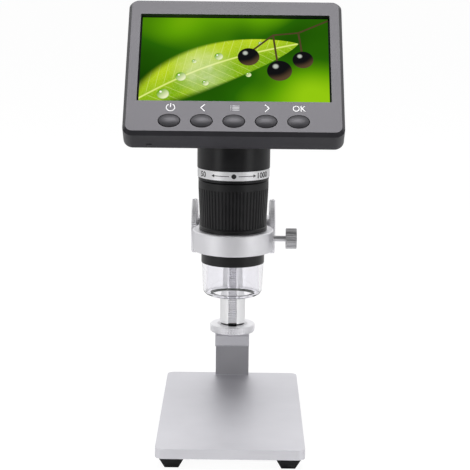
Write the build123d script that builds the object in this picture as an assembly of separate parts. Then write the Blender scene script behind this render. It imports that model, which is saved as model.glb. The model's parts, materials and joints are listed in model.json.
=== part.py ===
from build123d import *
import os
from math import atan, cos, degrees, pi, radians, sin, sqrt, tan

# Desktop digital microscope with a 4.3 inch screen on a rack and pinion stand. Millimetres.
# The origin is on the bench under the middle of the base plate; +X is the user's right,
# -Y faces the user and +Z is up.

# Fits
running_fit = 0.05      # radial, a shaft that turns or slides in its bore
working_gap = 0.3       # between moving faces that never touch
thread_fit = 0.05       # radial, a screw that turns in its tapped hole
socket_share = 0.55     # hexagon socket's radius to the screw head's radius

# Base plate and feet
plate_width = 74.0
plate_depth = 134.0
plate_thickness = 5.0
plate_corner = 4.0
foot_top = 12.7
foot_bottom = 6.8
foot_height = 6.0
foot_inset = 1.8

# Angle bracket on the plate's rear edge
bracket_width = 18.8
bracket_wall = 5.0
bracket_rise = 29.7
flange_thickness = 6.5
flange_reach = 23.5
bracket_chamfer = 0.6
bracket_screw_spacing = 10.0
bracket_screw_radius = 1.25
bracket_screw_head = 2.25
bracket_screw_depth = 9.0

# Column, its rack and the knurled lock nut
column_radius = 7.0
column_setback = 17.0
column_length = 102.3
column_thread_radius = 5.5
column_relief_height = 0.9
column_relief_depth = 0.7
column_cap_radius = 8.0
column_cap_height = 5.0
column_cap_round = 1.5
column_plug_radius = 3.0
column_plug_depth = 6.0
nut_radius = 12.5
nut_height = 4.2
nut_chamfer = 1.4
nut_knurls = 72
nut_knurl_depth = 0.35
rack_width = 4.6
rack_thickness = 3.2
rack_drop = 0.5
rack_end_margin = 1.5
rack_foot_gap = 1.2
gear_module = 0.4
gear_pressure = 20.0
gear_backlash = 0.1
gear_root = 1.25
pinion_teeth = 20
pinion_side_gap = 0.2

# Carriage that the rack drives
carriage_width = 28.0
carriage_height = 30.0
carriage_corner = 3.0
carriage_rear_wall = 4.5
carriage_front_wall = 5.0
bush_radius = 4.8
bush_start = 8.5
bush_flange_radius = 6.0
bush_flange = 1.2
shaft_radius = 2.5
tension_screw_radius = 2.0

# Height knobs
knob_radius = 14.8
knob_thickness = 3.2
knob_inner_face = 19.5
knob_hub_radius = 6.0
knob_recess_radius = 11.0
knob_recess = 0.6
knob_chamfer = 0.6
knob_knurls = 90
knob_knurl_depth = 0.25
knob_screw_radius = 1.0

# Holder ring and its thumbscrew
arm_reach = 42.0
ring_rest_height = 95.8
ring_height = 11.0
ring_wall = 4.65
ring_chamfer = 0.5
arm_width = 22.0
arm_screw_radius = 1.5
arm_screw_head = 2.7
arm_screw_head_height = 2.0
arm_screw_spacing = 13.0
arm_screw_grip = 4.5
pinion_above_ring = 6.5
clamp_above_ring = 6.1
clamp_radius = 1.5
clamp_knob_gap = 6.5
clamp_knob_thickness = 5.7
clamp_knob_radius = 5.4
clamp_knurls = 36
clamp_knurl_depth = 0.2
clamp_tip_radius = 1.2
clamp_tip_length = 1.0

# Lower barrel, clear cap and lights
barrel_bore = 15.2
barrel_wall = 1.4
barrel_below_ring = 6.4
barrel_ledge = 1.6
barrel_ledge_height = 1.0
cap_height = 17.6
cap_step = 0.3
cap_taper = 0.8
cap_wall = 1.5
cap_floor = 1.8
cap_floor_width = 4.0
cap_round = 3.2
cap_spigot = 2.0
light_board_thickness = 1.2
light_board_hole = 6.5
light_count = 8
light_ring_radius = 10.5
light_size = 2.8
light_height = 1.0

# Focus ring, the tube it turns on and the lens barrel that it drives
focus_tube_wall = 1.5
focus_tube_grip = 9.5
focus_tube_collar = 1.4
focus_tube_collar_height = 1.5
wheel_height = 26.3
wheel_foot_wall = 2.55
wheel_foot_height = 2.0
wheel_waist_wall = 2.15
wheel_top_wall = 3.1
wheel_shoulder_height = 4.1
wheel_chamfer = 0.5
wheel_ribs = 60
wheel_rib_depth = 0.45
focus_pitch = 7.2
focus_half_turn = 150.0
pin_radius = 1.0
pin_gap = 0.2
pin_inset = 2.2
groove_depth = 1.3
groove_step = 10.0
lens_barrel_length = 16.0
lens_barrel_wall = 1.4
lens_cell_radius = 6.3
lens_cell_drop = 5.0
lens_radius = 5.2
lens_thickness = 2.4
lens_curve = 14.0
lens_seat = 0.8

# Neck and its printed scale band
neck_wall = 1.8
neck_seat = 2.0
neck_floor = 2.5
neck_rise = 48.85
neck_shelf_height = 18.0
neck_shelf = 1.2
neck_shelf_reach = 11.0
band_lift = 1.45
band_height = 4.6
band_thickness = 0.35
band_inset = 0.2
neck_plate_margin = 6.0
neck_plate_thickness = 2.5
neck_plate_corner = 9.0
neck_screw_inset = 4.5
neck_screw_radius = 1.0
neck_screw_head = 1.9
neck_screw_head_height = 1.4

# Image sensor, its board and the dimmer
sensor_board_thickness = 1.2
sensor_size = 8.0
sensor_height = 1.2
dimmer_radius = 6.0
dimmer_thickness = 3.0
dimmer_stand_out = 1.8
dimmer_knurls = 36
dimmer_knurl_depth = 0.3
dimmer_pot_width = 9.0
dimmer_pot_length = 8.0
dimmer_pot_height = 2.6
dimmer_shaft_radius = 1.5

# Display head. Its own frame has x across, y up the screen and z out of the face.
head_tilt = 47.6
head_corner = 5.0
head_rear_round = 2.0
face_inset = 1.6
face_bevel = 2.1
bezel_depth = 5.0
bezel_face = 2.4
head_wall = 1.8
neck_plate_drop = 3.22
window_corner = 0.6
screen_width = 105.5
screen_height = 67.2
screen_thickness = 3.2
screen_side_gap = 0.55
screen_top_gap = 3.8
screen_side_border = 4.05
screen_top_border = 4.7
screen_low_border = 7.1
screen_sheet = 0.5
screen_edge = 2.6
panel_clearance = 0.2
screen_post_radius = 1.8
screen_post_inset = 3.6
case_screw_radius = 0.9
case_screw_head = 1.6
case_screw_head_height = 1.2
case_screw_side = 4.3
case_screw_low = 5.0
case_screw_gap = 0.4
case_screw_boss = 1.6
case_cover_boss = 2.7
case_boss_gap = 0.6

# Buttons and their board
button_count = 5
button_pitch = 16.0
button_width = 10.5
button_height = 7.4
button_stand_out = 0.9
button_rim = 0.1
button_gap = 0.4
button_flange = 0.8
button_flange_thickness = 0.8
button_travel = 0.6
button_stem_radius = 2.0
button_play = 0.05
button_names = ["power", "left", "menu", "right", "ok"]
switch_size = 6.0
switch_height = 1.8
switch_plunger_radius = 1.7
switch_plunger_height = 0.6
button_board_width = 80.0
button_board_height = 9.4
button_board_gap = 0.3
button_board_below = 1.3
board_thickness = 1.2

# Main board, battery, sockets and flat cable
board_left_gap = 0.4
board_width = 43.0
board_margin = 6.6
board_lift = 0.5
board_tongue_width = 16.0
board_tongue_height = 10.0
board_post_radius = 1.6
board_post_inset = 3.0
processor_size = 12.0
processor_height = 1.1
processor_from_left = 13.5
processor_from_top = 21.0
memory_width = 8.0
memory_length = 10.0
memory_height = 1.0
memory_from_right = 9.5
memory_from_bottom = 19.0
coil_size = 6.0
coil_height = 2.0
coil_from_right = 15.5
coil_from_bottom = 5.5
battery_width = 34.0
battery_length = 50.0
battery_thickness = 4.6
battery_round = 1.8
battery_gap = 4.0
battery_front_gap = 2.0
usb_width = 7.6
usb_depth = 5.6
usb_height = 2.7
usb_above_middle = 8.4
usb_mouth = 0.7
socket_wall = 0.5
card_width = 14.0
card_depth = 15.0
card_height = 1.9
card_below_middle = 13.6
card_mouth = 0.5
socket_setback = 0.5
slot_across = -42.0
slot_length = 2.8
slot_height = 0.7
cable_width = 10.0
cable_thickness = 0.3
cable_bend = 8.0
cable_run = 12.0
cable_hole_gap = 2.0
connector_height = 1.2
connector_depth = 4.0

# Levels and axes that follow from the sizes
plate_top = foot_height + plate_thickness
flange_top = plate_top + bracket_rise
flange_bottom = flange_top - flange_thickness
nut_top = flange_top + nut_height
rear_edge = plate_depth / 2
wall_front = rear_edge - bracket_wall
column_y = rear_edge - column_setback
column_top = flange_top + column_length
rack_tip_y = column_y - column_radius + rack_drop
pinion_pitch_radius = gear_module * pinion_teeth / 2
pinion_outer_radius = pinion_pitch_radius + gear_module
pinion_y = rack_tip_y + gear_module - pinion_pitch_radius
tube_y = column_y - arm_reach
ring_bottom = ring_rest_height
ring_top = ring_bottom + ring_height
barrel_radius = barrel_bore + barrel_wall
ring_bore = barrel_radius + running_fit
ring_radius = ring_bore + ring_wall
clamp_knob_start = ring_radius + clamp_knob_gap
pinion_z = ring_bottom + pinion_above_ring
clamp_z = ring_bottom + clamp_above_ring
carriage_front = pinion_y - pinion_outer_radius - carriage_front_wall
carriage_rear = column_y + column_radius + carriage_rear_wall
carriage_bottom = pinion_z - carriage_height / 2
carriage_top = pinion_z + carriage_height / 2
barrel_bottom = ring_bottom - barrel_below_ring
cap_bottom = barrel_bottom - cap_height
cap_radius = barrel_radius - cap_step
cap_low_radius = cap_radius - cap_taper
cap_hole_radius = cap_low_radius - cap_floor_width
light_board_top = barrel_bottom + cap_spigot + light_height + light_board_thickness
wheel_bottom = ring_top + working_gap
wheel_top = wheel_bottom + wheel_height
wheel_bore = barrel_bore + running_fit
wheel_foot_radius = wheel_bore + wheel_foot_wall
wheel_waist_radius = wheel_bore + wheel_waist_wall
wheel_top_radius = wheel_bore + wheel_top_wall
focus_tube_bore = barrel_bore - focus_tube_wall
neck_bottom = wheel_top + working_gap
neck_inside = barrel_bore + neck_seat
neck_radius = neck_inside + neck_wall
neck_low_radius = neck_radius - band_inset - band_thickness
band_bottom = neck_bottom + band_lift
band_top = band_bottom + band_height
collar_bottom = neck_bottom + neck_floor
collar_top = collar_bottom + focus_tube_collar_height
sensor_board_top = collar_top + sensor_board_thickness
focus_travel = focus_pitch * focus_half_turn / 360
pin_z = (wheel_bottom + wheel_top) / 2
lens_top = pin_z + lens_barrel_length / 2
lens_bottom = pin_z - lens_barrel_length / 2
lens_barrel_radius = focus_tube_bore - running_fit
pierce_z = band_top + neck_rise
tilt = radians(head_tilt)
inside_width = screen_width + 2 * screen_side_gap
inside_height = (screen_top_gap + screen_height + button_board_gap + button_board_height
                 + button_board_below)
head_width = inside_width + 2 * head_wall
head_height = inside_height + 2 * head_wall
head_depth = bezel_face + screen_thickness + battery_front_gap + battery_thickness + head_wall
neck_plate_width = 2 * (neck_radius + neck_plate_margin)
neck_plate_length = 2 * (neck_radius / cos(tilt) + neck_plate_margin)
head_drop = head_height / 2 - neck_plate_drop - neck_plate_length / 2
head_center_y = tube_y - head_drop * cos(tilt) - head_depth * sin(tilt)
head_center_z = pierce_z - head_drop * sin(tilt) + head_depth * cos(tilt)
head = Plane(origin=(0, head_center_y, head_center_z), x_dir=(1, 0, 0),
             z_dir=(0, -sin(tilt), cos(tilt))).location
screen_y = inside_height / 2 - screen_top_gap - screen_height / 2
window_width = screen_width - 2 * screen_side_border
window_height = screen_height - screen_top_border - screen_low_border
window_y = screen_y + (screen_low_border - screen_top_border) / 2
screen_front = -bezel_face
screen_back = screen_front - screen_thickness
inside_back = -head_depth + head_wall
board_front = screen_back - board_lift
board_back = board_front - board_thickness
board_left = -inside_width / 2 + board_left_gap
board_right = board_left + board_width
board_top = screen_y + screen_height / 2 - board_margin
board_bottom = screen_y - screen_height / 2 + board_margin
button_y = -inside_height / 2 + button_board_below + button_board_height / 2
usb_y = screen_y + usb_above_middle
card_y = screen_y - card_below_middle
stem_bottom = screen_front - button_play - button_flange_thickness - button_travel
button_board_front = stem_bottom - button_travel - button_play - switch_plunger_height - switch_height


def rod(radius, start, end):
    """A cylinder from one point to another."""
    start, end = Vector(*start), Vector(*end)
    place = Plane(origin=start, z_dir=end - start).location
    return place * Cylinder(radius, (end - start).length, align=(Align.CENTER, Align.CENTER, Align.MIN))


def cone(low_radius, high_radius, start, end):
    """A cone from one point to another, with its radius at each."""
    start, end = Vector(*start), Vector(*end)
    place = Plane(origin=start, z_dir=end - start).location
    return place * Cone(low_radius, high_radius, (end - start).length,
                        align=(Align.CENTER, Align.CENTER, Align.MIN))


def block(low, high):
    """A box from its lowest corner to its highest."""
    size = [b - a for a, b in zip(low, high)]
    center = [(a + b) / 2 for a, b in zip(low, high)]
    return Pos(*center) * Box(*size)


def slab(width, height, corner, low, high, x=0.0, y=0.0):
    """A plate with rounded corners between two levels."""
    return Pos(x, y, low) * extrude(RectangleRounded(width, height, corner), high - low)


def turned(points, y=0.0):
    """A solid turned about a vertical axis from (radius, level) points."""
    outline = make_face(Polyline(*points, close=True))
    return Pos(0, y, 0) * revolve(Plane.XZ * outline, Axis.Z)


def star(radius, depth, teeth, shares=(0.0, 0.25, 0.5, 0.75)):
    """Flat outline of a ribbed disc: each tooth has two low points and then two high ones."""
    step = 2 * pi / teeth
    radii = (radius - depth, radius, radius, radius - depth)
    angles = [(step * (i + share), r) for i in range(teeth) for share, r in zip(shares, radii)]
    return Polyline(*[(r * cos(a), r * sin(a)) for a, r in angles], close=True)


def knurled_disc(radius, depth, teeth, thickness, bevel):
    """A knurled disc standing on the XY plane, with both rims bevelled."""
    disc = extrude(make_face(star(radius, depth, teeth)), thickness)
    rims = [(0, 0), (radius - bevel, 0), (radius, bevel), (radius, thickness - bevel),
            (radius - bevel, thickness), (0, thickness)]
    return disc & turned(rims)


def along_x(shape, start, y, z, direction=1):
    """Lays a shape that stands on XY along X, starting at one place."""
    return Plane(origin=(start, y, z), z_dir=(direction, 0, 0)).location * shape


def pan_screw(radius, head_radius, head_height, length):
    """A socket screw: its head's underside is on the XY plane and its shank points up."""
    shank = rod(radius, (0, 0, 0), (0, 0, length))
    top = rod(head_radius, (0, 0, -head_height), (0, 0, 0))
    socket_radius = head_radius * socket_share
    socket = Pos(0, 0, -head_height) * extrude(RegularPolygon(socket_radius, 6), head_height / 2)
    return shank + top - socket


def countersunk_screw(radius, head_radius, length):
    """A flat-head screw: its flat end is on the XY plane and its shank points up."""
    head_height = head_radius - radius
    top = cone(head_radius, radius, (0, 0, 0), (0, 0, head_height))
    socket = extrude(RegularPolygon(head_radius * socket_share, 6), head_height * socket_share)
    return top + rod(radius, (0, 0, 0), (0, 0, length)) - socket


def group(shapes):
    """Several separate solids kept as one sub-part."""
    return Compound(children=[s for shape in shapes for s in shape.solids()])


def base_parts():
    plate = slab(plate_width, plate_depth, plate_corner, foot_height, plate_top)
    screw_y = rear_edge - bracket_wall / 2
    sides = (-bracket_screw_spacing / 2, bracket_screw_spacing / 2)
    shape = countersunk_screw(bracket_screw_radius, bracket_screw_head,
                              plate_thickness + bracket_screw_depth)
    screws = [Pos(x, screw_y, foot_height) * shape for x in sides]
    for x in sides:
        plate -= rod(bracket_screw_radius, (x, screw_y, foot_height), (x, screw_y, plate_top))
        plate -= cone(bracket_screw_head, bracket_screw_radius, (x, screw_y, foot_height),
                      (x, screw_y, foot_height + bracket_screw_head - bracket_screw_radius))

    profile = [(rear_edge, plate_top), (rear_edge, flange_top), (wall_front - flange_reach, flange_top),
               (wall_front - flange_reach, flange_bottom), (wall_front, flange_bottom),
               (wall_front, plate_top)]
    outline = make_face(Polyline(*profile, close=True))
    bracket = extrude(Plane.YZ * outline, bracket_width / 2, both=True)
    lower_lip = bracket.edges().filter_by(Axis.X).sort_by(Axis.Y)[:2]
    bracket = chamfer(lower_lip, bracket_chamfer)
    bracket -= rod(column_thread_radius, (0, column_y, flange_bottom), (0, column_y, flange_top))
    for x in sides:
        bracket -= rod(bracket_screw_radius, (x, screw_y, plate_top),
                       (x, screw_y, plate_top + bracket_screw_depth))

    nodes = {"base_plate": plate, "angle_bracket": bracket, "bracket_screws": group(screws)}
    foot_taper = degrees(atan((foot_top - foot_bottom) / 2 / foot_height))
    foot = extrude(Rectangle(foot_top, foot_top), -foot_height, taper=foot_taper)
    for name, x, y in (("front_left", -1, -1), ("front_right", 1, -1), ("rear_left", -1, 1),
                       ("rear_right", 1, 1)):
        foot_x = x * (plate_width / 2 - foot_inset - foot_top / 2)
        foot_y = y * (plate_depth / 2 - foot_inset - foot_top / 2)
        nodes["foot_" + name] = Pos(foot_x, foot_y, foot_height) * foot
    return nodes


def rack():
    """Toothed strip in the front of the column; a gap between teeth lies at the pinion's level."""
    pitch = pi * gear_module
    low, high = nut_top + rack_foot_gap, column_top - rack_end_margin
    root_y = rack_tip_y + gear_module * (1 + gear_root)
    slope = tan(radians(gear_pressure))
    half = pitch / 4 - gear_backlash / 4
    tip = half - gear_module * slope
    foot = half + gear_module * gear_root * slope
    first = int((low + pitch - pinion_z) / pitch)
    last = int((high - pitch - pinion_z) / pitch)
    points = [(root_y + rack_thickness - 2 * gear_module, low), (root_y, low)]
    for i in range(first, last):
        z = pinion_z + (i + 0.5) * pitch
        points += [(root_y, z - foot), (rack_tip_y, z - tip), (rack_tip_y, z + tip), (root_y, z + foot)]
    points += [(root_y, high), (root_y + rack_thickness - 2 * gear_module, high)]
    return extrude(Plane.YZ * make_face(Polyline(*points, close=True)), rack_width / 2, both=True)


def column_parts():
    strip = rack()
    groove_y = strip.bounding_box().max.Y
    column = rod(column_radius, (0, column_y, flange_top), (0, column_y, column_top))
    column += rod(column_thread_radius, (0, column_y, flange_bottom), (0, column_y, flange_top))
    groove_low, groove_high = flange_top + rack_end_margin, column_top - rack_end_margin
    column -= block((-rack_width / 2, column_y - 2 * column_radius, groove_low),
                    (rack_width / 2, groove_y, groove_high))
    column -= rod(column_plug_radius, (0, column_y, column_top - column_plug_depth),
                  (0, column_y, column_top))
    relief_top = nut_top + column_relief_height
    relief = rod(2 * column_radius, (0, column_y, nut_top), (0, column_y, relief_top))
    relief -= rod(column_radius - column_relief_depth, (0, column_y, nut_top), (0, column_y, relief_top))
    column -= relief
    top = column_top + column_cap_height
    cap = rod(column_cap_radius, (0, column_y, column_top), (0, column_y, top))
    cap = fillet(cap.edges().sort_by(Axis.Z)[-1], min(column_cap_round, column_cap_height / 3))
    cap += rod(column_plug_radius, (0, column_y, column_top - column_plug_depth),
               (0, column_y, column_top))
    nut = Pos(0, column_y, flange_top) * knurled_disc(nut_radius, nut_knurl_depth, nut_knurls,
                                                      nut_height, nut_chamfer / 3)
    nut_bore = column_radius + thread_fit
    nut -= rod(nut_bore, (0, column_y, flange_top), (0, column_y, nut_top))
    nut -= cone(nut_bore, nut_bore + nut_chamfer, (0, column_y, nut_top - nut_chamfer),
                (0, column_y, nut_top))
    return {"column": column, "column_rack": strip, "column_cap": cap, "lock_nut": nut}


def carriage_parts():
    center_y = (carriage_front + carriage_rear) / 2
    body = slab(carriage_width, carriage_rear - carriage_front, carriage_corner,
                carriage_bottom, carriage_top, y=center_y)
    body -= rod(column_radius + running_fit, (0, column_y, carriage_bottom), (0, column_y, carriage_top))
    half = carriage_width / 2
    body -= rod(bush_radius, (-half, pinion_y, pinion_z), (half, pinion_y, pinion_z))
    screw_tip = column_y + column_radius + working_gap
    body -= rod(tension_screw_radius, (0, column_y, pinion_z), (0, carriage_rear, pinion_z))
    tension = rod(tension_screw_radius, (0, screw_tip, pinion_z), (0, carriage_rear, pinion_z))
    socket_depth = (carriage_rear - screw_tip) / 2
    socket = extrude(RegularPolygon(tension_screw_radius * socket_share, 6), socket_depth)
    tension -= Plane(origin=(0, carriage_rear, pinion_z), z_dir=(0, -1, 0)).location * socket

    bushes = []
    for side in (-1, 1):
        bush = rod(bush_radius, (side * bush_start, pinion_y, pinion_z), (side * half, pinion_y, pinion_z))
        bush += rod(bush_flange_radius, (side * half, pinion_y, pinion_z),
                    (side * (half + bush_flange), pinion_y, pinion_z))
        bush -= rod(shaft_radius + running_fit, (side * bush_start, pinion_y, pinion_z),
                    (side * (half + bush_flange), pinion_y, pinion_z))
        bushes.append(bush)

    arm_y = (tube_y + carriage_front) / 2
    ring = rod(ring_radius, (0, tube_y, ring_bottom), (0, tube_y, ring_top))
    ring = chamfer(ring.edges(), ring_chamfer)
    ring += block((-arm_width / 2, arm_y, ring_bottom), (arm_width / 2, carriage_front, ring_top))
    ring -= rod(ring_bore, (0, tube_y, ring_bottom), (0, tube_y, ring_top))
    ring -= rod(clamp_radius + thread_fit, (0, tube_y, clamp_z), (2 * ring_radius, tube_y, clamp_z))
    screw_z = (ring_bottom + ring_top) / 2
    head_y = tube_y + sqrt(ring_bore ** 2 - (arm_screw_spacing / 2 - arm_screw_head) ** 2)
    seat_y = head_y + arm_screw_head_height
    screws = []
    for x in (-arm_screw_spacing / 2, arm_screw_spacing / 2):
        ring -= rod(arm_screw_head, (x, tube_y, screw_z), (x, seat_y, screw_z))
        ring -= rod(arm_screw_radius, (x, seat_y, screw_z), (x, carriage_front, screw_z))
        tip_y = carriage_front + arm_screw_grip
        body -= rod(arm_screw_radius, (x, carriage_front, screw_z), (x, tip_y, screw_z))
        shape = pan_screw(arm_screw_radius, arm_screw_head, arm_screw_head_height, tip_y - seat_y)
        screws.append(Plane(origin=(x, seat_y, screw_z), z_dir=(0, 1, 0)).location * shape)
    return {"carriage_block": body, "tension_screw": tension, "pinion_bushes": group(bushes),
            "holder_ring": ring, "arm_screws": group(screws)}


def pinion_outline():
    """Involute teeth, one of which points along local +x."""
    pressure = radians(gear_pressure)
    base = pinion_pitch_radius * cos(pressure)
    root = pinion_pitch_radius - gear_root * gear_module
    half_tooth = (pi * gear_module / 2 - gear_backlash) / 2 / pinion_pitch_radius
    flank_steps = 4

    def half_angle(radius):
        roll = sqrt(max((radius / base) ** 2 - 1, 0))
        return half_tooth + tan(pressure) - pressure - (roll - atan(roll))

    start = max(base, root)
    radii = [start + (pinion_outer_radius - start) * i / flank_steps for i in range(flank_steps + 1)]
    points = []
    for tooth in range(pinion_teeth):
        center = 2 * pi * tooth / pinion_teeth
        side = [(root, half_angle(start))] + [(r, half_angle(r)) for r in radii]
        polar = [(r, center - a) for r, a in side] + [(r, center + a) for r, a in reversed(side)]
        points += [(r * cos(a), r * sin(a)) for r, a in polar]
    return make_face(Polyline(*points, close=True))


def drive_parts():
    outer_face = knob_inner_face + knob_thickness
    shaft = rod(shaft_radius, (-outer_face, pinion_y, pinion_z), (outer_face, pinion_y, pinion_z))
    teeth = Plane.YZ * pinion_outline()
    shaft += Pos(0, pinion_y, pinion_z) * extrude(teeth, rack_width / 2 - pinion_side_gap, both=True)
    nodes = {"pinion_shaft": shaft}
    hub_start = carriage_width / 2 + bush_flange + working_gap
    hub_middle = (hub_start + knob_inner_face) / 2
    screws = []
    for name, side in (("left", -1), ("right", 1)):
        knob = knurled_disc(knob_radius, knob_knurl_depth, knob_knurls, knob_thickness, knob_chamfer)
        knob -= Pos(0, 0, knob_thickness) * Cylinder(knob_recess_radius, 2 * knob_recess)
        knob += rod(knob_hub_radius, (0, 0, 0), (0, 0, knob_thickness))
        knob = along_x(knob, side * knob_inner_face, pinion_y, pinion_z, side)
        knob += rod(knob_hub_radius, (side * hub_start, pinion_y, pinion_z),
                    (side * knob_inner_face, pinion_y, pinion_z))
        knob -= rod(shaft_radius, (side * hub_start, pinion_y, pinion_z),
                    (side * outer_face, pinion_y, pinion_z))
        screw_low = (side * hub_middle, pinion_y, pinion_z + shaft_radius)
        screw_high = (side * hub_middle, pinion_y, pinion_z + knob_hub_radius)
        knob -= rod(knob_screw_radius, (side * hub_middle, pinion_y, pinion_z), screw_high)
        screw = rod(knob_screw_radius, screw_low, screw_high)
        screws.append(screw - rod(shaft_radius, (side * hub_start, pinion_y, pinion_z),
                                  (side * knob_inner_face, pinion_y, pinion_z)))
        nodes["height_knob_" + name] = knob
    nodes["knob_set_screws"] = group(screws)
    return nodes


def clamp_parts():
    tip = barrel_radius + running_fit
    knob_end = clamp_knob_start + clamp_knob_thickness
    screw = rod(clamp_radius, (tip + clamp_tip_length, tube_y, clamp_z), (knob_end, tube_y, clamp_z))
    pad = rod(clamp_tip_radius, (tip, tube_y, clamp_z), (tip + clamp_tip_length, tube_y, clamp_z))
    pad -= rod(barrel_radius + running_fit, (0, tube_y, ring_bottom), (0, tube_y, ring_top))
    knob = knurled_disc(clamp_knob_radius, clamp_knurl_depth, clamp_knurls, clamp_knob_thickness,
                        clamp_knurl_depth)
    knob = along_x(knob, clamp_knob_start, tube_y, clamp_z)
    knob -= rod(clamp_radius, (tip, tube_y, clamp_z), (knob_end, tube_y, clamp_z))
    return {"clamp_screw": screw, "clamp_pad": pad, "clamp_knob": knob}


def barrel_parts():
    grip_bottom = ring_top - focus_tube_grip
    ledge_top = light_board_top + barrel_ledge_height
    ledge_radius = barrel_bore - barrel_ledge
    barrel = turned([(barrel_bore, barrel_bottom), (barrel_radius, barrel_bottom), (barrel_radius, ring_top),
                     (barrel_bore, ring_top), (barrel_bore, ledge_top), (ledge_radius, ledge_top),
                     (ledge_radius, light_board_top), (barrel_bore, light_board_top)], tube_y)

    spigot_top = barrel_bottom + cap_spigot
    inner_high, inner_low = cap_radius - cap_wall, cap_low_radius - cap_wall
    spigot_inside = barrel_bore - cap_wall
    floor_top = cap_bottom + cap_floor
    cap = turned([(cap_hole_radius, cap_bottom), (cap_low_radius, cap_bottom), (cap_radius, barrel_bottom),
                  (barrel_bore, barrel_bottom), (barrel_bore, spigot_top), (spigot_inside, spigot_top),
                  (min(spigot_inside, inner_high), barrel_bottom - cap_wall), (inner_low, floor_top),
                  (cap_hole_radius, floor_top)], tube_y)
    low_rim = cap.edges().filter_by(GeomType.CIRCLE).group_by(Axis.Z)[0].sort_by(SortBy.RADIUS)[-1]
    cap = fillet(low_rim, min(cap_round, cap_floor_width * 0.8))

    board_bottom = light_board_top - light_board_thickness
    board = turned([(light_board_hole, board_bottom), (barrel_bore, board_bottom),
                    (barrel_bore, light_board_top), (light_board_hole, light_board_top)], tube_y)
    lights = []
    for i in range(light_count):
        lamp = Pos(light_ring_radius, 0, board_bottom - light_height / 2) * Box(light_size, light_size,
                                                                              light_height)
        lights.append(Pos(0, tube_y, 0) * Rot(0, 0, 360 / light_count * i) * lamp)

    tube = turned([(focus_tube_bore, grip_bottom), (barrel_bore, grip_bottom), (barrel_bore, collar_bottom),
                   (barrel_bore + focus_tube_collar, collar_bottom),
                   (barrel_bore + focus_tube_collar, collar_top), (focus_tube_bore, collar_top)], tube_y)
    slot_half = pin_radius + pin_gap
    tube -= block((-slot_half, tube_y, pin_z - focus_travel - slot_half),
                  (slot_half, tube_y + 2 * barrel_bore, pin_z + focus_travel + slot_half))
    return {"lower_barrel": barrel, "clear_cap": cap, "light_board": board, "lights": group(lights),
            "focus_tube": tube}


def helical_groove():
    """Groove inside the focus ring that carries the lens barrel's pin, as short straight runs."""
    groove_radius = wheel_bore + groove_depth
    run_length = 2 * groove_radius * tan(radians(groove_step)) / 2 + pin_radius
    slope = degrees(atan(focus_pitch / (2 * pi * groove_radius)))
    half_runs = int(focus_half_turn / groove_step) + 1
    height = 2 * (pin_radius + pin_gap)
    runs = []
    for i in range(-half_runs, half_runs + 1):
        run = Pos(0, groove_radius / 2 + barrel_bore / 2, 0) * Rot(0, -slope, 0) * Box(
            run_length, groove_radius - barrel_bore, height)
        turn = i * groove_step
        runs.append(Pos(0, tube_y, pin_z + focus_pitch * turn / 360) * Rot(0, 0, turn) * run)
    return runs


def focus_parts():
    rib_low, rib_high = wheel_bottom + wheel_foot_height, wheel_top - wheel_shoulder_height
    slant = (wheel_top_radius - wheel_waist_radius) / (rib_high - rib_low)
    top = wheel_top_radius
    core = turned([(wheel_bore, wheel_bottom), (wheel_foot_radius, wheel_bottom),
                   (wheel_foot_radius, rib_low - wheel_chamfer), (wheel_waist_radius, rib_low),
                   (wheel_waist_radius - wheel_rib_depth, rib_low), (top - wheel_rib_depth, rib_high),
                   (top, rib_high), (top, wheel_top - wheel_chamfer),
                   (top - wheel_chamfer, wheel_top), (wheel_bore, wheel_top)], tube_y)
    shares = (0.0, 0.22, 0.7, 0.92)
    low_wire = Pos(0, tube_y, rib_low) * star(wheel_waist_radius, wheel_rib_depth, wheel_ribs, shares)
    high_wire = Pos(0, tube_y, rib_high) * star(
        wheel_waist_radius + slant * (rib_high - rib_low), wheel_rib_depth, wheel_ribs, shares)
    ribs = loft([make_face(low_wire), make_face(high_wire)], ruled=True)
    ribs -= rod(wheel_bore, (0, tube_y, rib_low), (0, tube_y, rib_high))
    wheel = core + ribs
    for run in helical_groove():
        wheel -= run

    inner = lens_barrel_radius - lens_barrel_wall
    web = lens_barrel_wall
    low = lens_bottom - lens_cell_drop
    carrier = turned([(lens_radius, low), (lens_cell_radius, low), (lens_cell_radius, pin_z - web / 2),
                      (inner, pin_z - web / 2), (inner, lens_bottom), (lens_barrel_radius, lens_bottom),
                      (lens_barrel_radius, lens_top), (inner, lens_top), (inner, pin_z + web / 2),
                      (lens_radius, pin_z + web / 2)], tube_y)
    pin_start, pin_end = lens_barrel_radius - pin_inset, wheel_bore + groove_depth - pin_gap
    pin = rod(pin_radius, (0, tube_y + pin_start, pin_z), (0, tube_y + pin_end, pin_z))
    carrier += rod(pin_radius + web, (0, tube_y + inner - web, pin_z), (0, tube_y + inner, pin_z))
    carrier -= pin
    front_low = low + lens_seat
    rear_low = pin_z - web / 2
    return {"focus_ring": wheel, "lens_barrel": carrier, "drive_pin": pin,
            "front_lens": lens(front_low), "rear_lens": lens(rear_low - lens_thickness)}


def lens(low):
    """A lens that bulges on both faces, in its cell's bore."""
    high = low + lens_thickness
    blank = rod(lens_radius, (0, tube_y, low), (0, tube_y, high))
    for center_z in (low + lens_curve, high - lens_curve):
        blank = blank & Pos(0, tube_y, center_z) * Sphere(lens_curve)
    return blank


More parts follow.
